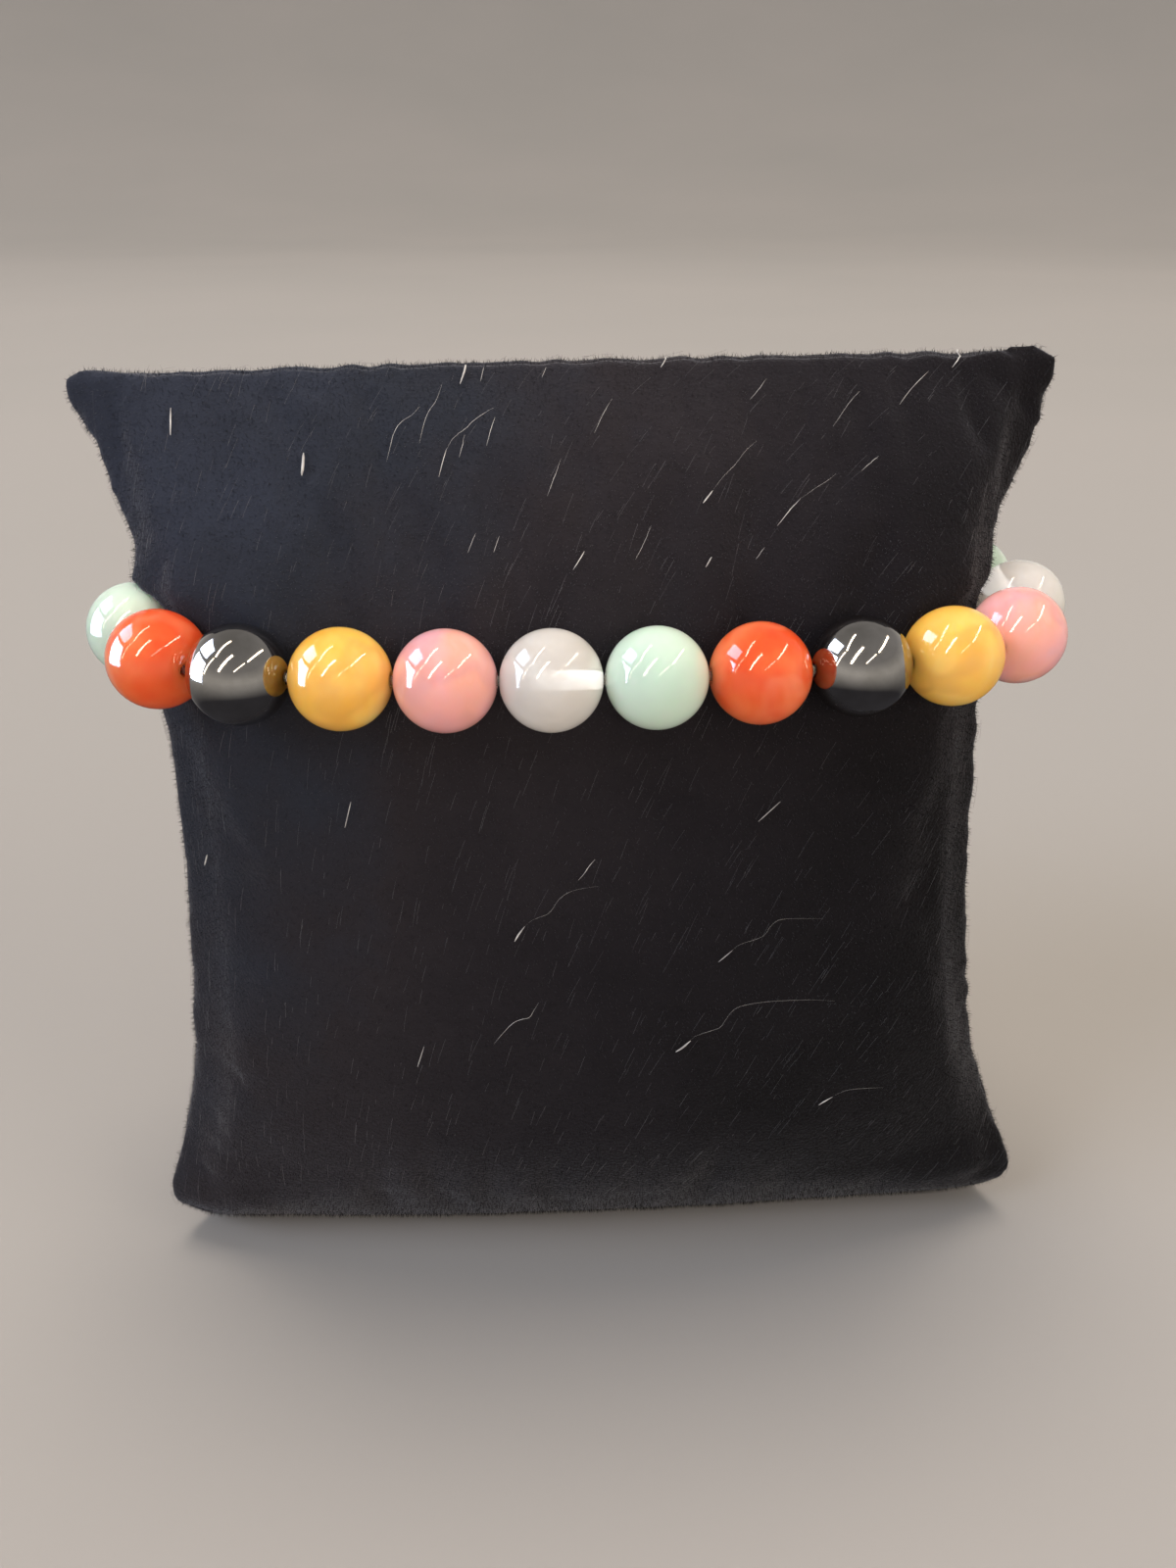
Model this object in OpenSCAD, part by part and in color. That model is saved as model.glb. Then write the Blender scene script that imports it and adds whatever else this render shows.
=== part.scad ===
// Stretch bracelet of round stone beads, shown round a small velvet display pillow.
// Millimetres, +Z up. The origin is on the floor under the middle of the whole. The loop of
// beads lies level, and the pillow stands on the floor at z = 0 and leans back.

/* [Beads] */
// Diameter of a bead
bead_d = 8; // [7:0.5:9]
// Number of beads on the loop, an even number
bead_count = 24; // [22:2:26]
// Clear gap between two beads
bead_gap = 0.1; // [0.1:0.05:0.3]
// Diameter of the hole through a bead
bore_d = 1; // [0.9:0.1:1.4]

/* [Elastic cord] */
// Diameter of the elastic cord inside the beads
cord_d = 0.8; // [0.5:0.1:0.8]

/* [Loop] */
// Height of the loop's middle plane above the floor
loop_z = 65; // [60:1:68]
// Place of the first bead, in beads along the loop from its front middle
first_bead = -0.44; // [-0.5:0.01:0.5]
// Turn at a joint along the straight front, as a share of the sharpest turn at the ends
straight_share = 0.08; // [0.02:0.02:0.2]
// Place of that sharpest turn, as a share of the way from the front middle to the back
bend_place = 0.41; // [0.38:0.01:0.5]
// How far the ends' bend reaches to each side of that place, as a share of the same way
bend_reach = 0.17; // [0.15:0.01:0.25]

/* [Pillow] */
// Height from the floor to the top seam
pillow_h = 85.5; // [84:0.5:92]
// Width across the bottom corners
pillow_w = 85; // [82:1:90]
// Thickness where the loop holds the pillow
pillow_t = 35.6; // [34:0.2:37]
// Angle by which the pillow leans back
pillow_lean = 8; // [0:1:10]
// How far the pillow's top is shifted to the left of its foot
pillow_slant = 1.6; // [0:0.2:3]
// How much higher the top seam's right corner is than its left one
top_rise = 1.2; // [0:0.2:3]
// Clearance between the velvet and the beads
velvet_gap = 0.4; // [0.3:0.1:0.6]

/* [Hidden] */
// Colours of the stones in the order in which they are strung
stone_colours = [
    "#E4E0DC", // clear quartz
    "#B4D8C0", // green aventurine
    "#E24B28", // red carnelian
    "#3C3F46", // hematite
    "#F5B43C", // yellow jade
    "#E58C98", // pink rhodonite
];
cord_colour = "#E8E6E0";
velvet_colour = "#1B1B20";

bead_r = bead_d / 2;
pitch = bead_d + bead_gap;
half_count = bead_count / 2;

// The pillow's top leans to the left, so the whole is moved to the right by this share of
// that lean, which puts its middle over the origin
centring_share = 0.4;
loop_x = centring_share * pillow_slant;

// Cross-sections of the pillow from its foot to its top seam, about the leaning middle
// plane: height as a share of pillow_h, half width as a share of pillow_w / 2, then the side
// fold, front and back as shares of pillow_t / 2, and how far the corners are pinched flat.
HEIGHT = 0;
WIDTH = 1;
SIDE = 2;
FRONT = 3;
BACK = 4;
PINCH = 5;
pillow_sections = [
    [0.000, 0.890,  0.25, -0.09, 0.97, 0.35],
    [0.018, 0.955,  0.00, -0.22, 0.99, 0.45],
    [0.045, 0.992, -0.22, -0.40, 1.00, 0.55],
    [0.082, 1.000, -0.20, -0.51, 1.00, 0.60],
    [0.140, 0.970,  0.02, -0.66, 0.98, 0.45],
    [0.220, 0.922,  0.18, -0.81, 0.95, 0.25],
    [0.375, 0.876,  0.13, -0.91, 0.91, 0.10],
    [0.515, 0.848,  0.07, -0.93, 0.91, 0.05],
    [0.630, 0.828,  0.00, -0.97, 0.94, 0.00],
    [0.708, 0.830,  0.00, -0.99, 0.98, 0.00],
    [0.812, 0.844,  0.00, -0.96, 0.97, 0.00],
    [0.850, 0.862,  0.08, -0.89, 0.82, 0.05],
    [0.905, 0.930,  0.12, -0.74, 0.52, 0.20],
    [0.955, 0.984,  0.05, -0.54, 0.20, 0.40],
    [0.984, 1.000, -0.08, -0.35, -0.02, 0.45],
    [1.000, 0.950, -0.15, -0.26, -0.13, 0.20],
];

// Rings from one row of the table to the next, the angle between rings in the groove, and
// the least height between those two kinds of ring
rings_a_row = 2;
groove_step = 22.5;
ring_clear = 0.5;

// Share of the pillow's height at which its slant is nil, and the powers by which the pinch
// grows towards the corners and the rise towards the top
slant_level = 0.2;
pinch_power = 3;
rise_power = 4;

// Sides of the cord, facets of a bead and its bore, and how much longer than the bead the
// cylinder is that cuts the bore
cord_sides = 8;
bead_facets = 48;
bore_facets = 24;
bore_over = 1;

// The foot is cut flat at the floor from a skin that reaches a little below it
foot_depth = 1;

function bead_name(i) = str("bead_", i < 10 ? "0" : "", i);

function sum(v, i = 0) = i < len(v) ? v[i] + sum(v, i + 1) : 0;
function middle(v) = [
    for (k = [0, 1]) let (c = [for (p = v) p[k]]) (min(c) + max(c)) / 2
];
function along(a) = [cos(a), sin(a)];
function outward(a) = [sin(a), -cos(a)];

// The string of beads turns a little at each joint between two beads: least along the
// straight front, most round the ends, and evenly along the back, whose share is the one
// that closes the loop. All turns together make a full circle.
function bend(s, back_share) =
    let (t = 1 - abs(1 - s / half_count),
        base = t < bend_place ? straight_share : back_share,
        bump = cos(90 * min(1, abs(t - bend_place) / bend_reach)))
    base + (1 - base) * bump;
function turns_with(back_share) =
    let (bends = [for (i = [0:bead_count - 1]) bend(first_bead + i + 0.5, back_share)],
        unit = 360 / sum(bends))
    [for (b = bends) b * unit];
function headings_with(turns) = [
    for (i = 0, h = first_bead * turns[0]; i <= bead_count;
        h = h + turns[min(i, bead_count - 1)], i = i + 1) h
];

// Bead centres, one pitch apart, and after the last one the place where the first should be
function string_with(headings) = [
    for (i = 0, p = [0, 0]; i <= bead_count;
        p = p + pitch * along((headings[i] + headings[min(i + 1, bead_count)]) / 2),
        i = i + 1) p
];
function opening_with(back_share) =
    string_with(headings_with(turns_with(back_share)))[bead_count][0];
function closing_share(low = 0, high = 1, steps = 24) =
    let (m = (low + high) / 2)
    steps == 0 ? m
        : opening_with(m) > 0 ? closing_share(low, m, steps - 1)
        : closing_share(m, high, steps - 1);

turns = turns_with(closing_share());
headings = headings_with(turns);
string_points = string_with(headings);

// What is left open, well under a bead gap at each joint, is shared by all joints. These
// points and the ones below are measured from the loop's middle.
closed_points = [
    for (i = [0:bead_count - 1]) string_points[i] - string_points[bead_count] * i / bead_count
];
bead_centres = [for (p = closed_points) p - middle(closed_points)];

// The bores of two neighbours meet at the joint between them
joint_points = [
    for (i = [0:bead_count - 1])
        (bead_centres[i] + bead_centres[(i + 1) % bead_count]) / 2
            + pitch / 2 * tan(turns[i] / 2) * outward(headings[i] + turns[i] / 2)
];

// Outline of the loop: each bead centre, then the joint after it
loop_points = [for (i = [0:bead_count - 1]) each [bead_centres[i], joint_points[i]]];
loop_headings = [
    for (i = [0:bead_count - 1]) each [headings[i], headings[i] + turns[i] / 2]
];
loop_count = len(loop_points);

// Inner edge of the loop, which is the shape of the pillow's cross-section
groove_r = bead_r + velvet_gap;
inner_points = [
    for (j = [0:loop_count - 1]) loop_points[j] - groove_r * outward(loop_headings[j])
];
inner_half_w = max([for (p = inner_points) p[0]]);
inner_half_d = max([for (p = inner_points) p[1]]);

// Value of a column at a share of the pillow's height, on a smooth curve through the rows
function row_below(s, i = 0) =
    i >= len(pillow_sections) - 2 || pillow_sections[i + 1][HEIGHT] > s
        ? i : row_below(s, i + 1);
function rise(i, column) =
    let (a = pillow_sections[max(i - 1, 0)],
        b = pillow_sections[min(i + 1, len(pillow_sections) - 1)])
    (b[column] - a[column]) / (b[HEIGHT] - a[HEIGHT]);
function section_at(s, column) =
    let (i = row_below(s), a = pillow_sections[i], b = pillow_sections[i + 1],
        span = b[HEIGHT] - a[HEIGHT], t = (s - a[HEIGHT]) / span,
        t2 = t * t, t3 = t2 * t)
    (2 * t3 - 3 * t2 + 1) * a[column] + (3 * t2 - 2 * t3) * b[column]
        + span * ((t3 - 2 * t2 + t) * rise(i, column) + (t3 - t2) * rise(i + 1, column));

// Heights of the rings: the rows with steps between them, and closer ones in the groove
row_heights = [
    for (i = [0:len(pillow_sections) - 2])
        let (a = pillow_sections[i][HEIGHT], b = pillow_sections[i + 1][HEIGHT])
        for (k = [0:rings_a_row - 1]) pillow_h * (a + (b - a) * k / rings_a_row)
];
groove_heights = [for (a = [-90:groove_step:90]) loop_z + groove_r * sin(a)];
ring_heights = concat(
    [for (z = row_heights) if (z < loop_z - groove_r - ring_clear) z],
    groove_heights,
    [for (z = row_heights) if (z > loop_z + groove_r + ring_clear) z],
    [pillow_h]
);

// The top seam rises to one side, and the skin below it follows less and less
function lifted(p, z) = z + top_rise * p[0] / pillow_w * pow(z / pillow_h, rise_power);

// A point of the pillow's skin before the beads press their groove into it
function skin_point(j, z) =
    let (s = z / pillow_h,
        u = inner_points[j][0] / inner_half_w,
        v = inner_points[j][1] / inner_half_d
            * (1 - section_at(s, PINCH) * pow(abs(u), pinch_power)),
        side = section_at(s, SIDE),
        reach = v < 0 ? side - section_at(s, FRONT) : section_at(s, BACK) - side)
    [
        pillow_w / 2 * section_at(s, WIDTH) * u + pillow_slant * (slant_level - s),
        (z - loop_z) * tan(pillow_lean) + pillow_t / 2 * (side + reach * v)
    ];

// The point of the loop's centre line that lies nearest to a point
function on_run(p, a, b) =
    a + (b - a) * max(0, min(1, (p - a) * (b - a) / ((b - a) * (b - a))));
function on_loop(p) =
    let (q = [for (j = [0:loop_count - 1])
            on_run(p, loop_points[j], loop_points[(j + 1) % loop_count])],
        d = [for (c = q) norm(p - c)])
    q[search(min(d), d)[0]];

// The skin's point, moved in where it would come too near the row of beads
function pressed_point(j, z) =
    let (p = skin_point(j, z), c = on_loop(p), dz = z - loop_z,
        needed = abs(dz) < groove_r ? sqrt(groove_r * groove_r - dz * dz) : 0,
        inward = norm(p) < norm(c) ? p - c : c - p)
    norm(p) < norm(c) && norm(inward) >= needed || needed == 0
        ? p : c + needed * inward / norm(inward);

// Faces of a tube through rings of equal count, closed at both ends or run round a loop
function tube_faces(rings, count) = [
    for (r = [0:rings - 2]) for (j = [0:count - 1])
        let (a = r * count + j, b = r * count + (j + 1) % count)
        each [[a, a + count, b], [b, a + count, b + count]]
];
function loop_faces(rings, count) = [
    for (r = [0:rings - 1]) for (j = [0:count - 1])
        let (q = (r + 1) % rings,
            a = r * count + j, b = r * count + (j + 1) % count,
            c = q * count + j, d = q * count + (j + 1) % count)
        each [[a, b, c], [b, d, c]]
];

// A drilled round bead, with its hole along the string
module bead(i) {
    k = i - 1;
    color(stone_colours[k % len(stone_colours)])
    translate([loop_x + bead_centres[k][0], bead_centres[k][1], loop_z])
    rotate([0, 90, headings[k]])
    difference() {
        sphere(d = bead_d, $fn = bead_facets);
        cylinder(d = bore_d, h = bead_d + bore_over, center = true, $fn = bore_facets);
    }
}

// Elastic cord: straight inside each bead, with a bend in each gap between two beads
module elastic_cord() {
    points = [
        for (i = [0:bead_count - 1]) for (k = [0:cord_sides - 1])
            let (a = 360 * k / cord_sides,
                across = cord_d / 2 * cos(a) / cos(turns[i] / 2),
                p = joint_points[i] + across * outward(headings[i] + turns[i] / 2))
            [loop_x + p[0], p[1], loop_z + cord_d / 2 * sin(a)]
    ];
    color(cord_colour)
    polyhedron(points, loop_faces(bead_count, cord_sides), convexity = 4);
}

// Stuffed velvet pillow with a flat foot, a groove round its waist and flat corners
module pillow() {
    heights = concat([-foot_depth], ring_heights);
    rings = len(heights);
    points = [
        for (z = heights) for (j = [0:loop_count - 1])
            let (p = pressed_point(j, max(z, 0))) [loop_x + p[0], p[1], lifted(p, z)]
    ];
    foot = [for (j = [0:loop_count - 1]) j];
    top = [for (j = [loop_count - 1:-1:0]) (rings - 1) * loop_count + j];
    color(velvet_colour)
    difference() {
        polyhedron(points, concat([foot], tube_faces(rings, loop_count), [top]),
            convexity = 6);
        translate([-pillow_w, -pillow_w, -2 * foot_depth])
            cube([2 * pillow_w, 2 * pillow_w, 2 * foot_depth]);
    }
}

for (i = [1:bead_count])
    bead(i);
elastic_cord();
pillow();
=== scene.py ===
import math
import bpy
import numpy as np
from mathutils import Matrix, Vector
from mathutils.bvhtree import BVHTree


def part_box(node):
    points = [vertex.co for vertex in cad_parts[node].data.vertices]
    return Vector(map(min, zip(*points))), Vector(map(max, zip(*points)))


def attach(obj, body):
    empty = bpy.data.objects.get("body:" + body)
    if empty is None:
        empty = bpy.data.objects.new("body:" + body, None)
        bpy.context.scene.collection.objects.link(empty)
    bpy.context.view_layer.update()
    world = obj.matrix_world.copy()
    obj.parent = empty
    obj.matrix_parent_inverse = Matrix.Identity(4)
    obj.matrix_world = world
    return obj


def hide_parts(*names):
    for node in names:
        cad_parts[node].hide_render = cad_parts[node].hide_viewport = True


# A stretch bracelet of round stone beads on a small black velvet pillow.
# Everything is in metres, in the frame's own place.
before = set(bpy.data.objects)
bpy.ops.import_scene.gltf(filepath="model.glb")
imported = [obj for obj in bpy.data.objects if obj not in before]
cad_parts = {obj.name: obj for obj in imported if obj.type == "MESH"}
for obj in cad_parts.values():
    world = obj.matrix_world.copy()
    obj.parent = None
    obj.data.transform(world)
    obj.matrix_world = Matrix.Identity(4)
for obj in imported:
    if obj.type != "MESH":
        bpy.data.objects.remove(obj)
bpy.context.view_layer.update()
mm = 0.001
beadCount = 24
stoneOrder = ["clear_quartz", "green_aventurine", "red_carnelian", "hematite", "yellow_jade",
              "pink_rhodonite"]
print("frame loaded with", len(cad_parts), "nodes")


def linear(code):  # sRGB hex to Blender's linear colour
    parts = [int(code[i:i + 2], 16) / 255 for i in (1, 3, 5)]
    return [c / 12.92 if c <= 0.04045 else ((c + 0.055) / 1.055) ** 2.4 for c in parts] + [1.0]


def feed(tree, node, links):  # sets inputs, or links them to a socket or to a node's first output
    for key, value in links.items():
        if isinstance(value, bpy.types.Node):
            value = value.outputs[0]
        if isinstance(value, bpy.types.NodeSocket):
            tree.links.new(value, node.inputs[key])
        else:
            node.inputs[key].default_value = value
    return node


def addNode(tree, kind, links=None, stops=None, **settings):  # stops fill a colour ramp
    node = tree.nodes.new(kind)
    for name, value in settings.items():
        setattr(node, name, value)
    for i, (place, code) in enumerate(stops or []):
        elements = node.color_ramp.elements
        stop = elements[i] if i < len(elements) else elements.new(place)
        stop.position = place
        stop.color = linear(code)
    return feed(tree, node, links or {})


def startMaterial(name, shaderValues):  # a Principled material with its uniform values set
    material = bpy.data.materials.new(name)
    material.use_nodes = True
    tree = material.node_tree
    shader = feed(tree, tree.nodes["Principled BSDF"], shaderValues)
    coords = addNode(tree, "ShaderNodeTexCoord").outputs["Object"]
    return material, tree, shader, coords


def cloudTone(tree, coords, size, tones, **noise):  # a colour ramp, driven by a noise of that size
    cloud = addNode(tree, "ShaderNodeTexNoise", {"Vector": coords, "Scale": 1 / size, **noise})
    return addNode(tree, "ShaderNodeValToRGB", {"Fac": cloud}, stops=tones)


def cloudyMaterial(name, look, **noise):  # one finish with soft clouds, their size in millimetres
    material, tree, shader, coords = startMaterial(name, look["shader"])
    tone = cloudTone(tree, coords, look["cloud"] * mm, look["tones"], **noise)
    feed(tree, shader, {"Base Color": tone})
    return material


def newMesh(name, points, edges, faces):
    mesh = bpy.data.meshes.new(name)
    mesh.from_pydata(points, edges, faces)
    return mesh


def ringFaces(rings, sides, first=0):  # quads between rings of points, which are numbered from first
    faces = []
    for low in range(first, first + rings * sides, sides):
        for s in range(sides):
            t = (s + 1) % sides
            faces.append((low + s, low + sides + s, low + sides + t, low + t))
    return faces


def placeMesh(name, mesh):
    piece = bpy.data.objects.new(name, mesh)
    bpy.context.scene.collection.objects.link(piece)
    return piece


def bakeMesh(name, source):  # the evaluated shape of an object as a plain mesh
    graph = bpy.context.evaluated_depsgraph_get()
    mesh = bpy.data.meshes.new_from_object(source.evaluated_get(graph))
    mesh.name = name
    return mesh


def readRows(items, name, width, kind=float):  # one value or vector of each item, as an array
    values = np.empty(len(items) * width, dtype=kind)
    items.foreach_get(name, values)
    return values.reshape(-1, width)


def meshPoints(mesh):
    return readRows(mesh.vertices, "co", 3)


def movePoints(mesh, points):
    mesh.vertices.foreach_set("co", points.ravel())
    mesh.update()


def smooth(value, low, high):  # 0 below low, 1 above high, eased between
    t = np.clip((value - low) / (high - low), 0, 1)
    return t * t * (3 - 2 * t)


def startTree(name, sockets):  # a Geometry Nodes tree with named inputs
    tree = bpy.data.node_groups.new(name, "GeometryNodeTree")
    tree.interface.new_socket("Geometry", in_out="OUTPUT", socket_type="NodeSocketGeometry")
    for label, kind in sockets:
        tree.interface.new_socket(label, in_out="INPUT", socket_type="NodeSocket" + kind)
    return tree, addNode(tree, "NodeGroupInput").outputs


def endTree(tree, geometry, material):  # real meshes with their material, as the export needs
    realized = addNode(tree, "GeometryNodeRealizeInstances", {"Geometry": geometry})
    dressed = addNode(tree, "GeometryNodeSetMaterial", {"Geometry": realized, "Material": material})
    addNode(tree, "NodeGroupOutput", {0: dressed})


def grow(name, tree, values, base):  # runs a tree on a mesh and bakes what it makes
    host = placeMesh(name + "_host", base)
    modifier = host.modifiers.new("grow", "NODES")
    modifier.node_group = tree
    for item in tree.interface.items_tree:
        if item.in_out == "INPUT" and item.name in values:
            modifier[item.identifier] = values[item.name]
    mesh = bakeMesh(name, host)
    bpy.data.objects.remove(host)
    return placeMesh(name, mesh)


# Camera 113 mm in front of the pillow's middle and 101 mm up, looking down 26 degrees
cameraLook = {
    "place": (-4.48 * mm, -112.70 * mm, 101.17 * mm),
    "turn": (63.59, 0.19, -2.90),  # degrees
    "lens": 29.25, "sensor": 36,  # millimetres, a phone's wide lens along the picture's long side
    "clip": (1 * mm, 50),
}


def makeCamera(look):
    data = bpy.data.cameras.new("camera")
    data.sensor_fit = "AUTO"
    data.sensor_width = look["sensor"]
    data.lens = look["lens"]
    data.clip_start, data.clip_end = look["clip"]
    camera = bpy.data.objects.new("camera", data)
    camera.location = look["place"]
    camera.rotation_euler = [math.radians(a) for a in look["turn"]]
    bpy.context.scene.collection.objects.link(camera)
    bpy.context.scene.camera = camera


# Light: a tall cool window on the left and strip lamps overhead, which only show in the polish,
# and wide soft fills, cool from the left and warm from the right, which leave no shape in a
# reflection. A light's glow is its brightness beside the sky's at 1.
lightLook = {
    "centre": (0, -8 * mm, 62 * mm),
    # the sky's colours by height, from straight down at 0 to straight up at 1
    "sky": [(0.20, "#444347"), (0.50, "#DAD6D0"), (0.56, "#DAD6D0"), (0.72, "#A9A6A4"), (1.0, "#989694")],
    "skyStrength": 1.0,
    # colour, azimuth from the viewer towards the right, elevation, distance, width, height, glow
    "fills": {
        "ceiling": ("#FFF1E2", 185, 80, 2.8, 1.75, 1.4, 8.5),
        "front_fill": ("#FFF1E2", 4, 10, 3.2, 3.0, 1.3, 5.6),
        "left_fill": ("#DDE9FF", -66, 36, 3.2, 1.6, 1.6, 6.0),
        "right_fill": ("#FFF1E2", 58, 24, 3.2, 2.0, 1.75, 3.2),
    },
    # colour, directions of the two ends as azimuth and elevation, distance, width, glow
    "strips": {
        "window_1": ("#CFE1FF", (-90, -7), (-94, 25), 0.60, 0.38, 21.0),
        "window_2": ("#CFE1FF", (-99, 29), (-107, 48), 0.60, 0.36, 11.0),
        "lamp_1": ("#FFF0D8", (-61, 47), (-132, 77), 0.80, 0.036, 20.0),
        "lamp_2": ("#FFF0D8", (-36, 24), (-7, 63), 0.80, 0.050, 28.0),
        "lamp_3": ("#FFF0D8", (40, 44), (109, 42), 0.80, 0.032, 20.0),
        "lamp_4": ("#FFF0D8", (-69, 10), (-63, 43), 0.80, 0.028, 12.0),
        "lamp_5": ("#FFF0D8", (0, 27), (31, 43), 0.80, 0.022, 11.0),
    },
}


def direction(azimuth, elevation):
    a, e = math.radians(azimuth), math.radians(elevation)
    return Vector((math.sin(a) * math.cos(e), -math.cos(a) * math.cos(e), math.sin(e)))


def makeLight(name, place, up, size, glow, colour, lit=True, mirrored=True):
    data = bpy.data.lights.new(name, "AREA")
    data.shape = "RECTANGLE"
    data.size, data.size_y = size
    data.energy = glow * math.pi * size[0] * size[1]
    data.color = linear(colour)[:3]
    light = bpy.data.objects.new(name, data)
    light.visible_camera = False
    light.visible_diffuse = lit
    light.visible_glossy = mirrored
    back = place.normalized()
    side = up.cross(back).normalized()
    turn = Matrix((side, back.cross(side), back)).transposed()
    light.matrix_world = Matrix.Translation(Vector(lightLook["centre"]) + place) @ turn.to_4x4()
    bpy.context.scene.collection.objects.link(light)


def makeLights(look):
    # a fill is a wide sheet that faces the object, and shows in no reflection
    for name, (colour, azimuth, elevation, distance, width, height, glow) in look["fills"].items():
        place = direction(azimuth, elevation) * distance
        makeLight(name, place, Vector((0, 0, 1)), (width, height), glow, colour, mirrored=False)
    # a strip runs between two directions, and only shows in reflections
    for name, (colour, low, high, distance, width, glow) in look["strips"].items():
        start, end = direction(*low) * distance, direction(*high) * distance
        size = (width, (end - start).length)
        makeLight(name, (start + end) / 2, end - start, size, glow, colour, lit=False)
    world = bpy.data.worlds.new("studio")
    world.use_nodes = True
    tree = world.node_tree
    way = addNode(tree, "ShaderNodeTexCoord").outputs["Generated"]
    height = addNode(tree, "ShaderNodeSeparateXYZ", {"Vector": way}).outputs["Z"]
    share = addNode(tree, "ShaderNodeMapRange", {"Value": height, "From Min": -1.0})
    tone = addNode(tree, "ShaderNodeValToRGB", {"Fac": share}, stops=look["sky"])
    feed(tree, tree.nodes["Background"], {"Color": tone, "Strength": look["skyStrength"]})
    bpy.context.scene.world = world
    print("lights:", len(look["fills"]) + len(look["strips"]))


# Matt painted board, swept up all round into a low wall, so no edge or horizon shows. The
# polish doesn't mirror it: the ground in its reflections is the dark one of the sky's colours.
floorLook = {
    "flat": 1.6, "sweep": 2.6, "wall": 0.4, "sides": 96, "steps": 24,
    "tones": [(0.3, "#A2A09D"), (0.7, "#A6A3A0")], "cloud": 350,
    "shader": {"Roughness": 0.9, "Specular IOR Level": 0.0},
}


def makeFloor(look):
    outline = [(look["flat"], 0.0)]  # radius and height, from the flat's edge up to the wall's top
    for i in range(1, look["steps"] + 1):
        a = math.pi / 2 * i / look["steps"]
        outline.append((look["flat"] + look["sweep"] * math.sin(a), look["sweep"] * (1 - math.cos(a))))
    outline.append((outline[-1][0], outline[-1][1] + look["wall"]))
    sides = look["sides"]
    points = [(r * math.cos(2 * math.pi * s / sides), r * math.sin(2 * math.pi * s / sides), z)
              for r, z in outline for s in range(sides)]
    faces = [tuple(range(sides))] + ringFaces(len(outline) - 1, sides)
    mesh = newMesh("floor", points, [], faces)
    mesh.polygons.foreach_set("use_smooth", [False] + [True] * (len(faces) - 1))
    mesh.materials.append(cloudyMaterial("pale_board", look, Detail=3.0))
    board = placeMesh("floor", mesh)
    board.visible_glossy = False


# Stone finishes. Every bead is tumbled to a glassy polish, so its gloss is sharp and the
# differences lie in the colour, in how deep light goes in, and in clouds and veins.
stoneLooks = {
    # rock crystal with milky veils: half clear, half a soft white glow
    "clear_quartz": {
        "tones": [(0.30, "#EAE6E1"), (0.55, "#F6F2ED"), (0.75, "#FFFDF9")],
        "cloud": 4.0, "stretch": (1.0, 1.0, 2.2), "warp": 1.2,
        "vein": "#F2EEEA", "veinSize": 5.0, "veinWidth": 0.12, "veinAmount": 0.35,
        "shader": {"Roughness": 0.04, "IOR": 1.544, "Transmission Weight": 0.42,
                   "Subsurface Weight": 1.0, "Subsurface Radius": (1.0, 0.97, 0.93),
                   "Subsurface Scale": 2.5 * mm},
    },
    # pale green aventurine: even mint body, light goes in a millimetre or two
    "green_aventurine": {
        "tones": [(0.25, "#C6DECF"), (0.50, "#CFE3D4"), (0.80, "#DAEADA")],
        "cloud": 6.0, "stretch": (1.0, 1.0, 1.4), "warp": 0.8,
        "vein": "#D6EEDC", "veinSize": 8.0, "veinWidth": 0.12, "veinAmount": 0.20,
        "shader": {"Roughness": 0.05, "IOR": 1.55, "Subsurface Weight": 0.8,
                   "Subsurface Radius": (0.8, 1.0, 0.85), "Subsurface Scale": 1.6 * mm},
    },
    # carnelian: iron-red chalcedony, paler orange in its clouds, deep red at the rim
    "red_carnelian": {
        "tones": [(0.25, "#DC461A"), (0.46, "#E8602E"), (0.62, "#EF7A48"), (0.78, "#F69E74")],
        "cloud": 5.0, "stretch": (1.0, 1.0, 0.7), "warp": 1.0,
        "vein": "#F6A078", "veinSize": 7.0, "veinWidth": 0.10, "veinAmount": 0.30,
        "shader": {"Roughness": 0.04, "IOR": 1.54, "Subsurface Weight": 0.85,
                   "Subsurface Radius": (1.0, 0.42, 0.18), "Subsurface Scale": 1.8 * mm},
    },
    # dyed yellow jade: honey body with paler silk and brown mottles
    "yellow_jade": {
        "tones": [(0.27, "#F2B246"), (0.42, "#F9C056"), (0.60, "#FDCC6A"), (0.78, "#FFDE92")],
        "cloud": 5.0, "stretch": (1.6, 1.0, 0.5), "warp": 1.0,
        "vein": "#C8924C", "veinSize": 6.0, "veinWidth": 0.11, "veinAmount": 0.30,
        "shader": {"Roughness": 0.06, "IOR": 1.60, "Subsurface Weight": 0.7,
                   "Subsurface Radius": (1.0, 0.66, 0.28), "Subsurface Scale": 1.5 * mm},
    },
    # rhodonite: rose body clouded with lilac and salmon, and a few grey veins
    "pink_rhodonite": {
        "tones": [(0.28, "#EEB8C2"), (0.45, "#F5B4B0"), (0.60, "#F4B2A0"), (0.78, "#F8CAC4")],
        "cloud": 4.5, "stretch": (1.3, 1.0, 0.75), "warp": 1.3,
        "vein": "#C08A9C", "veinSize": 7.0, "veinWidth": 0.10, "veinAmount": 0.26,
        "shader": {"Roughness": 0.06, "IOR": 1.60, "Subsurface Weight": 0.7,
                   "Subsurface Radius": (1.0, 0.6, 0.55), "Subsurface Scale": 1.4 * mm},
    },
}


# Shared by all of these: how much coarser the bending noise is than the clouds, a noise's middle
# value, and how far the polish wavers, which is too little to break up a reflection
polishLook = {"warpSize": 1.7, "middle": 0.5, "waver": 1.5 * mm, "least": 0.6, "most": 1.4}


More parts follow.
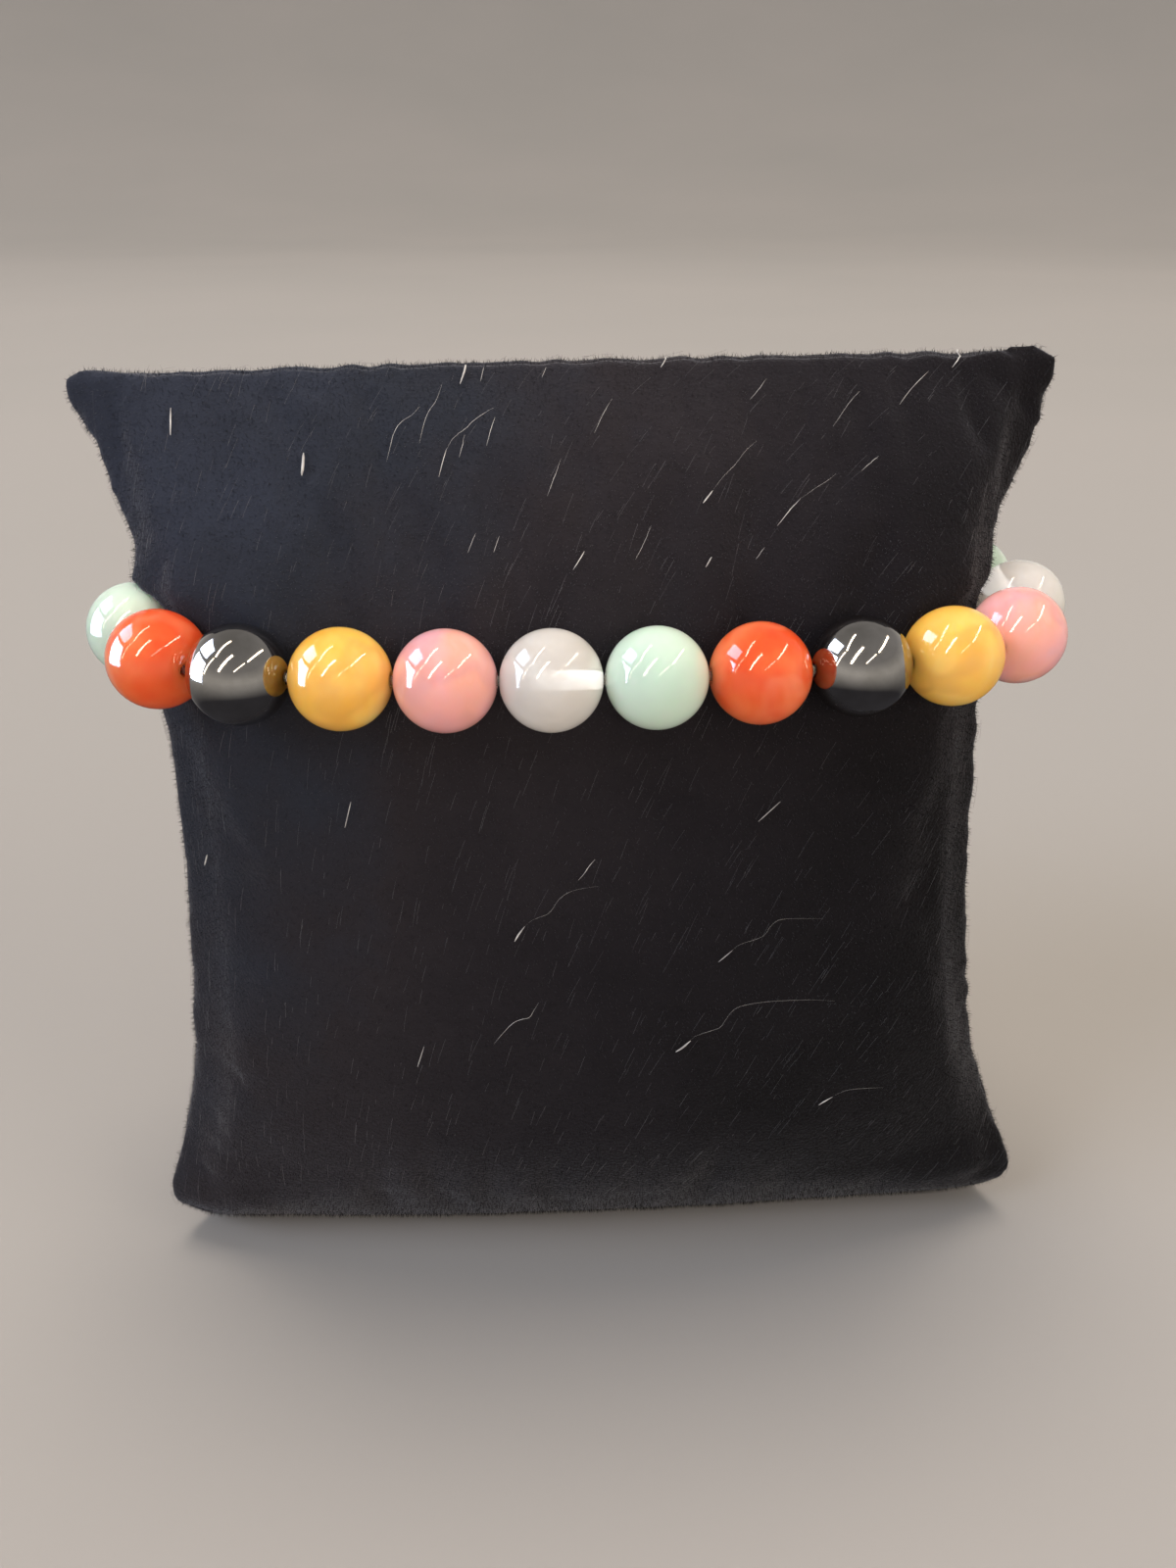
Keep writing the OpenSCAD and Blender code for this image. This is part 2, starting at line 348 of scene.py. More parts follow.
def polishedStone(name, look, polish):  # clouds and thin veins, both bent by a coarser noise
    material, tree, shader, coords = startMaterial(name, look["shader"])
    warp = addNode(tree, "ShaderNodeTexNoise",
                   {"Vector": coords, "Scale": 1 / (look["cloud"] * polish["warpSize"] * mm)})
    push = addNode(tree, "ShaderNodeVectorMath",
                   {0: warp.outputs["Color"], 1: [polish["middle"]] * 3}, operation="SUBTRACT")
    bent = addNode(tree, "ShaderNodeVectorMath",
                   {0: push, 1: [look["warp"] * look["cloud"] * mm] * 3, 2: coords},
                   operation="MULTIPLY_ADD")
    drawn = addNode(tree, "ShaderNodeMapping", {"Vector": bent, "Scale": look["stretch"]})
    tone = cloudTone(tree, drawn, look["cloud"] * mm, look["tones"], Detail=3.0, Roughness=0.4)
    # a vein runs where its noise passes through the middle value
    ridge = addNode(tree, "ShaderNodeTexNoise", {"Vector": bent, "Detail": 2.0,
                                                 "Scale": 1 / (look["veinSize"] * mm)})
    off = addNode(tree, "ShaderNodeMath", {0: ridge, 1: polish["middle"]}, operation="SUBTRACT")
    gap = addNode(tree, "ShaderNodeMath", {0: off}, operation="ABSOLUTE")
    strength = addNode(tree, "ShaderNodeMapRange", {
        "Value": gap, "From Max": look["veinWidth"], "To Min": look["veinAmount"], "To Max": 0.0},
        interpolation_type="SMOOTHSTEP")
    veined = addNode(tree, "ShaderNodeMix", {0: strength, 6: tone, 7: linear(look["vein"])},
                     data_type="RGBA")
    waver = addNode(tree, "ShaderNodeTexNoise", {"Vector": coords, "Scale": 1 / polish["waver"]})
    gloss = look["shader"]["Roughness"]
    wavered = addNode(tree, "ShaderNodeMapRange", {
        "Value": waver, "To Min": gloss * polish["least"], "To Max": gloss * polish["most"]})
    feed(tree, shader, {"Base Color": veined.outputs[2], "Roughness": wavered})
    return material


# The drill leaves the bore's wall in clear quartz rough and white. It is painted whiter towards one end and
# given a painted glow, for light that the bead focuses there. It shows through the bead as a bright bar,
# twice as thick as it is.
frostAndGlowLook = {
    "tones": [(0.58, "#6E6C6A"), (1.00, "#FFFFFF")], "patch": 1.6, "patchy": 0.4,
    # glow: how bright the painted glow is, though the wall is no lamp
    "roughness": 0.8, "glow": 1.0,
}


def frostedGlowingBore(look):
    material, tree, shader, coords = startMaterial("drill_frost_painted_glow", {"Roughness": look["roughness"]})
    patch = addNode(tree, "ShaderNodeTexNoise", {"Vector": coords, "Scale": 1 / (look["patch"] * mm)})
    depth = addNode(tree, "ShaderNodeAttribute", attribute_name="bore_depth").outputs["Fac"]
    # painted light: the wall is whiter towards one end of the bore, standing in for light the bead focuses
    # there
    rough = addNode(tree, "ShaderNodeMath", {0: patch, 1: look["patchy"], 2: depth},
                    operation="MULTIPLY_ADD")
    tone = addNode(tree, "ShaderNodeValToRGB", {"Fac": rough}, stops=look["tones"])
    # the wall's own tones also glow: a painted glow, though it is no lamp
    feed(tree, shader, {"Base Color": tone, "Emission Color": tone, "Emission Strength": look["glow"]})
    return material


# Hematite: iron oxide polished to a dark grey mirror
hematiteLook = {
    "tones": [(0.35, "#98948F"), (0.65, "#ACA8A4")], "cloud": 2.5,
    "shader": {"Metallic": 1.0, "Roughness": 0.06},
}


# Beads: drilled balls, one for each CAD bead, turned so that the bore follows the string
beadLook = {
    "radius": 4.0 * mm, "bore": 0.5 * mm, "edge": 0.06 * mm, "profilePoints": 44, "sides": 64,
    "jointReach": 3.0 * mm,  # cord points this near to the middle between two beads lie at its bend
}


def beadSection(look):  # closed half section: an arc between the bore's two rims, then its wall
    radius, bore, edge = look["radius"], look["bore"], look["edge"]
    start = math.asin((bore + edge) / radius)
    steps = look["profilePoints"] - 3
    arc = [start + (math.pi - 2 * start) * i / steps for i in range(steps + 1)]
    wall = radius * math.cos(start) - edge
    section = [(bore, wall)] + [(radius * math.sin(a), radius * math.cos(a)) for a in arc] + [(bore, -wall)]
    # the section is swept round a small circle, which is half as wide as the bore
    points = [(out - bore / 2, high, 0) for out, high in section]
    return newMesh("bead_section", points, [(i, (i + 1) % len(points)) for i in range(len(points))], [])


def drilledBeadTree():
    tree, given = startTree("drilled_bead", [
        ("Section", "Geometry"), ("Path Radius", "Float"), ("Sides", "Int"), ("Bore Reach", "Float"),
        ("Half Length", "Float"), ("Centre", "Vector"), ("Turn", "Vector"), ("Stone", "Material"),
        ("Bore Finish", "Material")])
    section = addNode(tree, "GeometryNodeMeshToCurve", {"Mesh": given["Section"]})
    circle = addNode(tree, "GeometryNodeCurvePrimitiveCircle",
                     {"Resolution": given["Sides"], "Radius": given["Path Radius"]})
    upright = addNode(tree, "GeometryNodeSetCurveNormal", {"Curve": circle}, mode="Z_UP")
    ball = addNode(tree, "GeometryNodeCurveToMesh", {"Curve": upright, "Profile Curve": section})
    # the bore's wall is all that lies this near to the axis
    place = addNode(tree, "GeometryNodeInputPosition")
    across = addNode(tree, "ShaderNodeVectorMath", {0: place, 1: (1, 1, 0)}, operation="MULTIPLY")
    reach = addNode(tree, "ShaderNodeVectorMath", {0: across}, operation="LENGTH")
    inside = addNode(tree, "ShaderNodeMath", {0: reach.outputs["Value"], 1: given["Bore Reach"]},
                     operation="LESS_THAN")
    marked = addNode(tree, "GeometryNodeStoreNamedAttribute",
                     {"Geometry": ball, "Name": "bore_wall", "Value": inside},
                     data_type="BOOLEAN", domain="FACE")
    # 0 where the bore starts and 1 where it ends
    along = addNode(tree, "ShaderNodeSeparateXYZ", {"Vector": place}).outputs["Z"]
    half = addNode(tree, "ShaderNodeMath", {0: given["Half Length"], 1: -1.0}, operation="MULTIPLY")
    depth = addNode(tree, "ShaderNodeMapRange", {
        "Value": along, "From Min": half, "From Max": given["Half Length"]})
    measured = addNode(tree, "GeometryNodeStoreNamedAttribute",
                       {"Geometry": marked, "Name": "bore_depth", "Value": depth},
                       data_type="FLOAT", domain="POINT")
    shaded = addNode(tree, "GeometryNodeSetShadeSmooth", {"Geometry": measured})
    turned = addNode(tree, "GeometryNodeTransform", {
        "Geometry": shaded, "Translation": given["Centre"], "Rotation": given["Turn"]})
    realized = addNode(tree, "GeometryNodeRealizeInstances", {"Geometry": turned})
    dressed = addNode(tree, "GeometryNodeSetMaterial", {"Geometry": realized, "Material": given["Stone"]})
    bored = addNode(tree, "GeometryNodeInputNamedAttribute", {"Name": "bore_wall"}, data_type="BOOLEAN")
    frosted = addNode(tree, "GeometryNodeSetMaterial", {
        "Geometry": dressed, "Selection": bored, "Material": given["Bore Finish"]})
    addNode(tree, "NodeGroupOutput", {0: frosted})
    return tree


def boxCentre(node):
    low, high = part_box(node)
    return (Vector(low) + Vector(high)) / 2


def outwardVolume(mesh):  # positive where a closed mesh's faces point outwards
    mesh.calc_loop_triangles()
    corners = readRows(mesh.loop_triangles, "vertices", 3, np.int32)
    a, b, c = meshPoints(mesh)[corners].transpose(1, 0, 2)
    return float(np.einsum("ij,ij->i", a, np.cross(b, c)).sum() / 6)


def makeBeads(look, materials, frostWithPaintedGlow):
    names = ["bead_%02d" % (i + 1) for i in range(beadCount)]
    centres = [boxCentre(name) for name in names]
    # the cord bends between two beads, and its points there give each bore's direction
    cordPoints = meshPoints(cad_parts["elastic_cord"].data)
    joints = []
    for i in range(beadCount):
        middle = (centres[i] + centres[(i + 1) % beadCount]) / 2
        far = np.linalg.norm(cordPoints - np.array(middle), axis=1)
        joints.append(Vector(cordPoints[far < look["jointReach"]].mean(axis=0)))
    tree = drilledBeadTree()
    section = beadSection(look)
    beads = []
    for i, name in enumerate(names):
        along = joints[i] - joints[i - 1]
        stone = stoneOrder[i % len(stoneOrder)]
        bead = grow("stone_" + name, tree, {
            "Path Radius": look["bore"] / 2, "Sides": look["sides"],
            "Bore Reach": look["bore"] + look["edge"] / 4, "Half Length": look["radius"],
            "Centre": centres[i], "Turn": (0, math.pi / 2, math.atan2(along.y, along.x)),
            "Stone": materials[stone],
            # clear quartz gets the frosted wall with its painted glow
            "Bore Finish": frostWithPaintedGlow if stone == "clear_quartz" else materials[stone],
        }, section)
        if outwardVolume(bead.data) < 0:
            bead.data.flip_normals()
        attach(bead, "root")
        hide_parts(name)
        beads.append(bead)
    print("beads: %d of %d points, %.1f cubic millimetres each" % (
        len(beads), len(beads[0].data.vertices), outwardVolume(beads[0].data) / mm ** 3))
    return centres


# Clear stretch cord: extruded polyurethane, glassy, so it takes the colour of what is behind it
cordLook = {
    "tones": [(0.35, "#BDB9B1"), (0.65, "#E0DDD6")], "cloud": 0.4,
    "shader": {"Roughness": 0.15, "IOR": 1.5, "Transmission Weight": 0.95},
}


def dressCord(look):
    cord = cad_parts["elastic_cord"]
    cord.data.materials.clear()
    cord.data.materials.append(cloudyMaterial("clear_stretch_cord", look))


# Cotton velvet: a dense short pile, so it is black face on and lights up at grazing angles. Its
# colour is painted lighter and bluer towards the top left: painted light, cool as from that side.
velvetLook = {
    # tones run from the black velvet up to lighter, bluer painted light; the slope after them sets how the
    # painted light grows towards the top left
    "tones": [(0.05, "#161516"), (0.35, "#201E21"), (0.62, "#2B282B"), (0.85, "#2A2D35"), (1.0, "#2F333E")],
    "paintedLight": (-11.4, 0.0, 5.5), "paintedLightStart": -0.04, "uneven": 0.45, "brush": 14.0,
    "pileGrain": 0.30, "grainDepth": 0.15, "grainStrength": 0.6,
    "sheen": 0.50, "sheenRoughness": 0.40, "sheenTint": "#B4B6BE", "roughness": 1.0,
}


def velvetMaterial(name, look):
    material, tree, shader, coords = startMaterial(name, {
        "Roughness": look["roughness"], "Specular IOR Level": 0.0, "Sheen Weight": look["sheen"],
        "Sheen Roughness": look["sheenRoughness"], "Sheen Tint": linear(look["sheenTint"])})
    # pile brushed this way and that leaves broad soft patches
    brush = addNode(tree, "ShaderNodeTexNoise", {"Vector": coords, "Scale": 1 / (look["brush"] * mm),
                                                 "Detail": 4.0, "Roughness": 0.6})
    # painted light: the colour grows lighter and bluer towards the top left, with the random brush patches
    # added to it
    side = addNode(tree, "ShaderNodeVectorMath", {0: coords, 1: look["paintedLight"]}, operation="DOT_PRODUCT")
    start = addNode(tree, "ShaderNodeMath", {0: side.outputs["Value"], 1: look["paintedLightStart"]},
                    operation="ADD")
    paintedLight = addNode(tree, "ShaderNodeMath", {0: brush, 1: look["uneven"], 2: start},
                    operation="MULTIPLY_ADD")
    tone = addNode(tree, "ShaderNodeValToRGB", {"Fac": paintedLight}, stops=look["tones"])
    grain = addNode(tree, "ShaderNodeTexNoise", {"Vector": coords, "Detail": 2.0,
                                                 "Scale": 1 / (look["pileGrain"] * mm)})
    bump = addNode(tree, "ShaderNodeBump", {"Height": grain, "Strength": look["grainStrength"],
                                            "Distance": look["grainDepth"] * mm})
    feed(tree, shader, {"Base Color": tone, "Normal": bump})
    return material


# Pillow: the CAD pillow, stuffed by a cloth simulation, with its seams pulled in afterwards
pillowLook = {
    "simScale": 10.0,  # the simulation works best at the size of a bed cushion
    "voxel": 1.0 * mm, "weld": 0.01 * mm, "frames": 20, "cap": 1.1 * mm, "skinGap": 0.001,
    "cloth": {
        "quality": 6, "mass": 0.3, "tension_stiffness": 12, "compression_stiffness": 12,
        "shear_stiffness": 4, "bending_stiffness": 0.4, "use_pressure": True,
        "uniform_pressure_force": 4.0, "shrink_min": -0.03, "vertex_group_mass": "held",
    },
    # where the velvet is held while it swells, and how firmly: heights over the floor, heights
    # under the top and shares of the half width
    "heldFoot": (0.9 * mm, 3.0 * mm, 1.0), "heldTop": (4 * mm, 1 * mm, 0.9), "heldSides": (0.93, 0.99, 0.6),
    "clearance": 0.15 * mm,
    "seamDepth": 0.55 * mm, "seamWidth": 0.75 * mm, "seamStep": 2.0 * mm,
    "pucker": 0.16 * mm, "puckerReach": 2.6 * mm, "puckerStep": 4.6 * mm,
    "seamFoot": (5.0 * mm, 12.0 * mm), "seamTips": {0: (34.0 * mm, 41.0 * mm), 2: (75.0 * mm, 82.0 * mm)},
    # the puckers' waves drift: how far and how often, then least height, its swing and how often
    "puckerDrift": (1.3, 0.31), "puckerSwing": (0.65, 0.35, 0.17),
    "rimHeight": (2.0 * mm, 16.0 * mm), "rimRounds": 12, "rimPull": 0.5,
    # outline: slices this far apart, up to this far under the top, and the top's own band
    "outlineStep": 0.5 * mm, "outlineTop": 2.5 * mm, "topBand": (12.0 * mm, 1.5 * mm),
    # height, and how far the velvet reaches out past the plain outline there, in millimetres
    "leftTrim": [(0, 0.2), (6, 0.3), (17, 0.3), (38, 0.1), (52, 0.4), (60, 0.8), (66, 1.3), (70, 1.2),
                 (74, 0.4), (77, 0.0), (81, -0.3), (84, -0.7)],
    "rightTrim": [(0, 0.8), (6, 1.1), (10, 0.8), (17, 0.3), (23, -0.1), (38, -0.2), (48, 0.3), (56, 0.6),
                  (63, 0.3), (67, 0.1), (71, 0.6), (75, 1.0), (80, 0.9), (82.5, 0.2), (84, -0.3)],
}


def beadBalls(centres, radius, scale, rings=12, sides=18):  # they hold the velvet in while it swells
    points, faces = [], []
    for centre in centres:
        first = len(points)
        for r in range(rings + 1):
            for s in range(sides):
                a, b = math.pi * r / rings, 2 * math.pi * s / sides
                way = Vector((math.sin(a) * math.cos(b), math.sin(a) * math.sin(b), math.cos(a)))
                points.append((centre + way * radius) * scale)
        faces += ringFaces(rings, sides, first)
    return placeMesh("bead_balls", newMesh("bead_balls", points, [], faces))


def remeshedPillow(look):  # an even closed skin, at the simulation's scale
    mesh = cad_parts["pillow"].data.copy()
    movePoints(mesh, meshPoints(mesh) * look["simScale"])
    rough = placeMesh("rough_pillow", mesh)
    weld = rough.modifiers.new("weld", "WELD")
    weld.merge_threshold = look["weld"] * look["simScale"]
    remesh = rough.modifiers.new("remesh", "REMESH")
    remesh.mode = "VOXEL"
    remesh.voxel_size = look["voxel"] * look["simScale"]
    skin = bakeMesh("pillow_skin", rough)
    bpy.data.objects.remove(rough)
    return skin


def weigh(piece, name, weights):  # a vertex group with a weight for each point
    group = piece.vertex_groups.new(name=name)
    for i, weight in enumerate(weights):
        group.add([i], float(weight), "REPLACE")


def stuffPillow(look, centres):
    scale = look["simScale"]
    skin = remeshedPillow(look)
    start = meshPoints(skin)
    cushion = placeMesh("cushion", skin)
    balls = beadBalls(centres, beadLook["radius"] + look["clearance"], scale)
    balls.modifiers.new("collision", "COLLISION")
    balls.collision.thickness_outer = look["skinGap"]
    # the foot, the top seam and the two sides are held, everything else may swell
    high = start.max(axis=0)
    near, far, firm = look["heldFoot"]
    foot = firm * (1 - smooth(start[:, 2], near * scale, far * scale))
    near, far, firm = look["heldTop"]
    seam = firm * smooth(start[:, 2], high[2] - near * scale, high[2] - far * scale)
    near, far, firm = look["heldSides"]
    side = firm * smooth(np.abs(start[:, 0]), near * high[0], far * high[0])
    weigh(cushion, "held", np.maximum.reduce([foot, seam, side]))
    cloth = cushion.modifiers.new("cloth", "CLOTH")
    for name, value in look["cloth"].items():
        setattr(cloth.settings, name, value)
    cloth.settings.effector_weights.gravity = 0
    cloth.collision_settings.distance_min = look["skinGap"]
    cloth.collision_settings.use_self_collision = False
    scene = bpy.context.scene
    for f in range(1, look["frames"] + 1):
        scene.frame_set(f)
    swollen = meshPoints(bakeMesh("swollen", cushion))
    scene.frame_set(1)
    bpy.data.objects.remove(cushion)
    bpy.data.objects.remove(balls)
    step = (swollen - start) / scale
    size = np.linalg.norm(step, axis=1, keepdims=True)
    cap = look["cap"]
    step *= cap * np.tanh(size / cap) / np.maximum(size, 1e-9)  # no point moves further than the cap
    print("pillow swelled by up to %.2f mm, %.2f mm on average" % (size.max() / mm, size.mean() / mm))
    return skin, start / scale + step


def clearOfBeads(points, centres, radius):  # moves points out of the beads
    for centre in centres:
        away = points - np.array(centre)
        far = np.linalg.norm(away, axis=1, keepdims=True)
        points = np.where(far < radius, np.array(centre) + away * radius / np.maximum(far, 1e-9), points)
    return points


def meshEdges(mesh):
    return readRows(mesh.edges, "vertices", 2, np.int32)


def outlineAt(points, edges, along, out, places):  # how far a shape reaches both ways at each place
    a, b = points[edges[:, 0]], points[edges[:, 1]]
    span = b[:, along] - a[:, along]
    reach = []
    for place in places:
        crossed = ((a[:, along] - place) * (b[:, along] - place) <= 0) & (np.abs(span) > 1e-9)
        share = (place - a[crossed, along]) / span[crossed]
        found = a[crossed, out] + share * (b[crossed, out] - a[crossed, out])
        reach.append((found.min(), found.max()))
    return np.array(reach).T


# Stuffing pulls the sides and the top in, and remeshing rounds the tips off, so the outline is
# drawn back to the CAD pillow's and trimmed
def keepOutline(points, edges, look):
    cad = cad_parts["pillow"].data
    cadPoints, cadEdges = meshPoints(cad), meshEdges(cad)
    low, high = cadPoints.min(axis=0), cadPoints.max(axis=0)
    step = look["outlineStep"]
    places = np.arange(step / 2, high[2] - look["outlineTop"], step)
    wanted = outlineAt(cadPoints, cadEdges, 2, 0, places)
    for row, sign, trim in ((0, -1, look["leftTrim"]), (1, 1, look["rightTrim"])):
        wanted[row] += sign * mm * np.interp(places / mm, *np.array(trim).T)
    left, right = [np.interp(points[:, 2], places, row) for row in wanted]
    found = outlineAt(points, edges, 2, 0, places)
    oldLeft, oldRight = [np.interp(points[:, 2], places, row) for row in found]
    points[:, 0] = left + (points[:, 0] - oldLeft) / (oldRight - oldLeft) * (right - left)
    places = np.arange(low[0] + 2 * step, high[0] - step, step)
    rise = outlineAt(cadPoints, cadEdges, 0, 2, places)[1] - outlineAt(points, edges, 0, 2, places)[1]
    top = np.interp(points[:, 0], places, rise)
    points[:, 2] += top * smooth(points[:, 2], *[high[2] - under for under in look["topBand"]])
    return points


def seamLine(points, along, out, side, step):  # the outermost point in each short stretch
    places, line = np.arange(points[:, along].min(), points[:, along].max(), step), []
    for place in places:
        near = points[np.abs(points[:, along] - place) < step / 2]
        if len(near):
            line.append(near[np.argmax(near[:, out] * side)])
    line = np.array(line)
    padded = np.pad(line, ((2, 2), (0, 0)), "edge")
    return sum(padded[i:i + len(line)] for i in range(5)) / 5  # evened out over five


def sewSeams(points, look):  # the seams down both sides and along the top, with their puckers
    for along, out, side in ((2, 0, -1), (2, 0, 1), (0, 2, 1)):
        line = seamLine(points, along, out, side, look["seamStep"])
        place = points[:, along]
        deep = np.interp(place, line[:, along], line[:, 1])
        edge = np.interp(place, line[:, along], line[:, out])
        far = np.hypot(points[:, 1] - deep, points[:, out] - edge)
        groove = look["seamDepth"] * np.exp(-(far / look["seamWidth"]) ** 2)
        turn = 2 * math.pi * place / look["puckerStep"]
        drift, often = look["puckerDrift"]
        wave = np.sin(turn + drift * np.sin(turn * often + side))
        least, swing, often = look["puckerSwing"]
        wave *= least + swing * np.sin(turn * often + along)
        pucker = look["pucker"] * wave * np.exp(-(far / look["puckerReach"]) ** 2)
        # the seams fade out at the foot and in the flat corner tips
        tips = smooth(np.abs(place), *look["seamTips"][along])
        kept = smooth(points[:, 2], *look["seamFoot"]) * (1 - tips)
        points[:, out] -= side * (groove + pucker) * kept
    return points


def makePillow(look, centres, material):
    skin, points = stuffPillow(look, centres)
    movePoints(skin, points)
    coarse = placeMesh("coarse_pillow", skin)
    # the even cells of the skin step along the foot's rim, so that is smoothed
    weigh(coarse, "rim", 1 - smooth(points[:, 2], *look["rimHeight"]))
    even = coarse.modifiers.new("even", "SMOOTH")
    even.factor, even.iterations, even.vertex_group = look["rimPull"], look["rimRounds"], "rim"
    fine = coarse.modifiers.new("fine", "SUBSURF")
    fine.levels = fine.render_levels = 1
    mesh = bakeMesh("velvet_pillow", coarse)
    bpy.data.objects.remove(coarse)
    points = sewSeams(keepOutline(meshPoints(mesh), meshEdges(mesh), look), look)
    points = clearOfBeads(points, centres, beadLook["radius"] + look["clearance"])
    points[:, 2] = np.maximum(points[:, 2], 0.0)
    movePoints(mesh, points)
    mesh.materials.clear()
    mesh.materials.append(material)
    mesh.polygons.foreach_set("use_smooth", [True] * len(mesh.polygons))
    pillow = placeMesh("velvet_pillow", mesh)
    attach(pillow, "root")
    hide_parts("pillow")
    print("pillow: %d faces, %.0f cubic millimetres" % (len(mesh.polygons), outwardVolume(mesh) / mm ** 3))
    return pillow


# Pile: short black cotton fibres that stand off the velvet and soften its outline. Real pile
# is ten times finer and denser, which wouldn't show. It is made in three lots to keep each
# mesh small, and it is cut short round the beads and left off at the foot.
pileLook = {
    "lots": 3, "fibres": 62000, "length": 0.50 * mm, "thickness": 0.05 * mm, "spread": 0.5,
    "shortest": 0.55, "longest": 1.15,  # shares of that length
    "nap": (0.0, 0.0, -0.2), "root": 0.06 * mm, "least": 0.25, "footFree": (0.6 * mm, 1.4 * mm),
    "seed": 7, "lengthSeed": 3, "sides": 3,
}


def pileTree():
    tree, given = startTree("velvet_pile", [
        ("Skin", "Geometry"), ("Density", "Float"), ("Length", "Float"), ("Thickness", "Float"),
        ("Shortest", "Vector"), ("Longest", "Vector"), ("Spread", "Float"), ("Nap", "Vector"),
        ("Root", "Float"), ("Least", "Float"), ("Seed", "Int"), ("Length Seed", "Int"), ("Sides", "Int"),
        ("Pile", "Material")])
    room = addNode(tree, "GeometryNodeInputNamedAttribute", {"Name": "room"}, data_type="FLOAT")
    free = addNode(tree, "ShaderNodeMath", {0: room, 1: given["Least"]}, operation="GREATER_THAN")
    spots = addNode(tree, "GeometryNodeDistributePointsOnFaces", {
        "Mesh": given["Skin"], "Selection": free, "Density": given["Density"], "Seed": given["Seed"]})
    least = addNode(tree, "ShaderNodeMath", {0: given["Spread"], 1: -1.0}, operation="MULTIPLY")
    stray = addNode(tree, "FunctionNodeRandomValue", {
        0: least, 1: given["Spread"], "Seed": given["Seed"]}, data_type="FLOAT_VECTOR")
    brushed = addNode(tree, "ShaderNodeVectorMath", {0: spots.outputs["Normal"], 1: given["Nap"]},
                      operation="ADD")
    way = addNode(tree, "ShaderNodeVectorMath", {0: brushed, 1: stray}, operation="ADD")
    turn = addNode(tree, "FunctionNodeAlignRotationToVector", {"Vector": way}, axis="Z")
    sink = addNode(tree, "ShaderNodeMath", {0: given["Root"], 1: -1.0}, operation="MULTIPLY")
    offset = addNode(tree, "ShaderNodeVectorMath", {0: spots.outputs["Normal"], "Scale": sink},
                     operation="SCALE")
    rooted = addNode(tree, "GeometryNodeSetPosition", {"Geometry": spots, "Offset": offset})
    radius = addNode(tree, "ShaderNodeMath", {0: given["Thickness"], 1: 0.5}, operation="MULTIPLY")
    fibre = addNode(tree, "GeometryNodeMeshCone", {
        "Vertices": given["Sides"], "Radius Top": 0.0, "Radius Bottom": radius, "Depth": given["Length"]},
        fill_type="NONE")
    uneven = addNode(tree, "FunctionNodeRandomValue", {
        0: given["Shortest"], 1: given["Longest"], "Seed": given["Length Seed"]}, data_type="FLOAT_VECTOR")
    shorter = addNode(tree, "ShaderNodeCombineXYZ", {"X": 1.0, "Y": 1.0, "Z": room})
    height = addNode(tree, "ShaderNodeVectorMath", {0: uneven, 1: shorter}, operation="MULTIPLY")
    pile = addNode(tree, "GeometryNodeInstanceOnPoints", {
        "Points": rooted, "Instance": fibre, "Rotation": turn, "Scale": height})
    endTree(tree, pile, given["Pile"])
    return tree


def skinArea(mesh):
    return float(readRows(mesh.polygons, "area", 1).sum())


def markRoom(mesh, centres, look):  # how much of a fibre's length is free at each point, 0 to 1
    points = meshPoints(mesh)
    gaps = [np.linalg.norm(points - np.array(centre), axis=1) - beadLook["radius"] for centre in centres]
    room = np.clip(np.minimum.reduce(gaps) / look["length"], 0, 1)
    room *= smooth(points[:, 2], *look["footFree"])
    mesh.attributes.new("room", "FLOAT", "POINT").data.foreach_set("value", room)


def makePile(look, pillow, centres, material):
    markRoom(pillow.data, centres, look)
    tree = pileTree()
    for lot in range(look["lots"]):
        pile = grow("velvet_pile_%d" % (lot + 1), tree, {
            "Density": look["fibres"] / skinArea(pillow.data), "Length": look["length"],
            "Thickness": look["thickness"], "Shortest": (1, 1, look["shortest"]),
            "Longest": (1, 1, look["longest"]), "Spread": look["spread"], "Nap": look["nap"],
            "Root": look["root"], "Least": look["least"], "Seed": look["seed"] + lot,
            "Length Seed": look["lengthSeed"], "Sides": look["sides"], "Pile": material}, pillow.data)
        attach(pile, "root")
        print("pile lot", lot + 1, "has", len(pile.data.polygons), "faces")
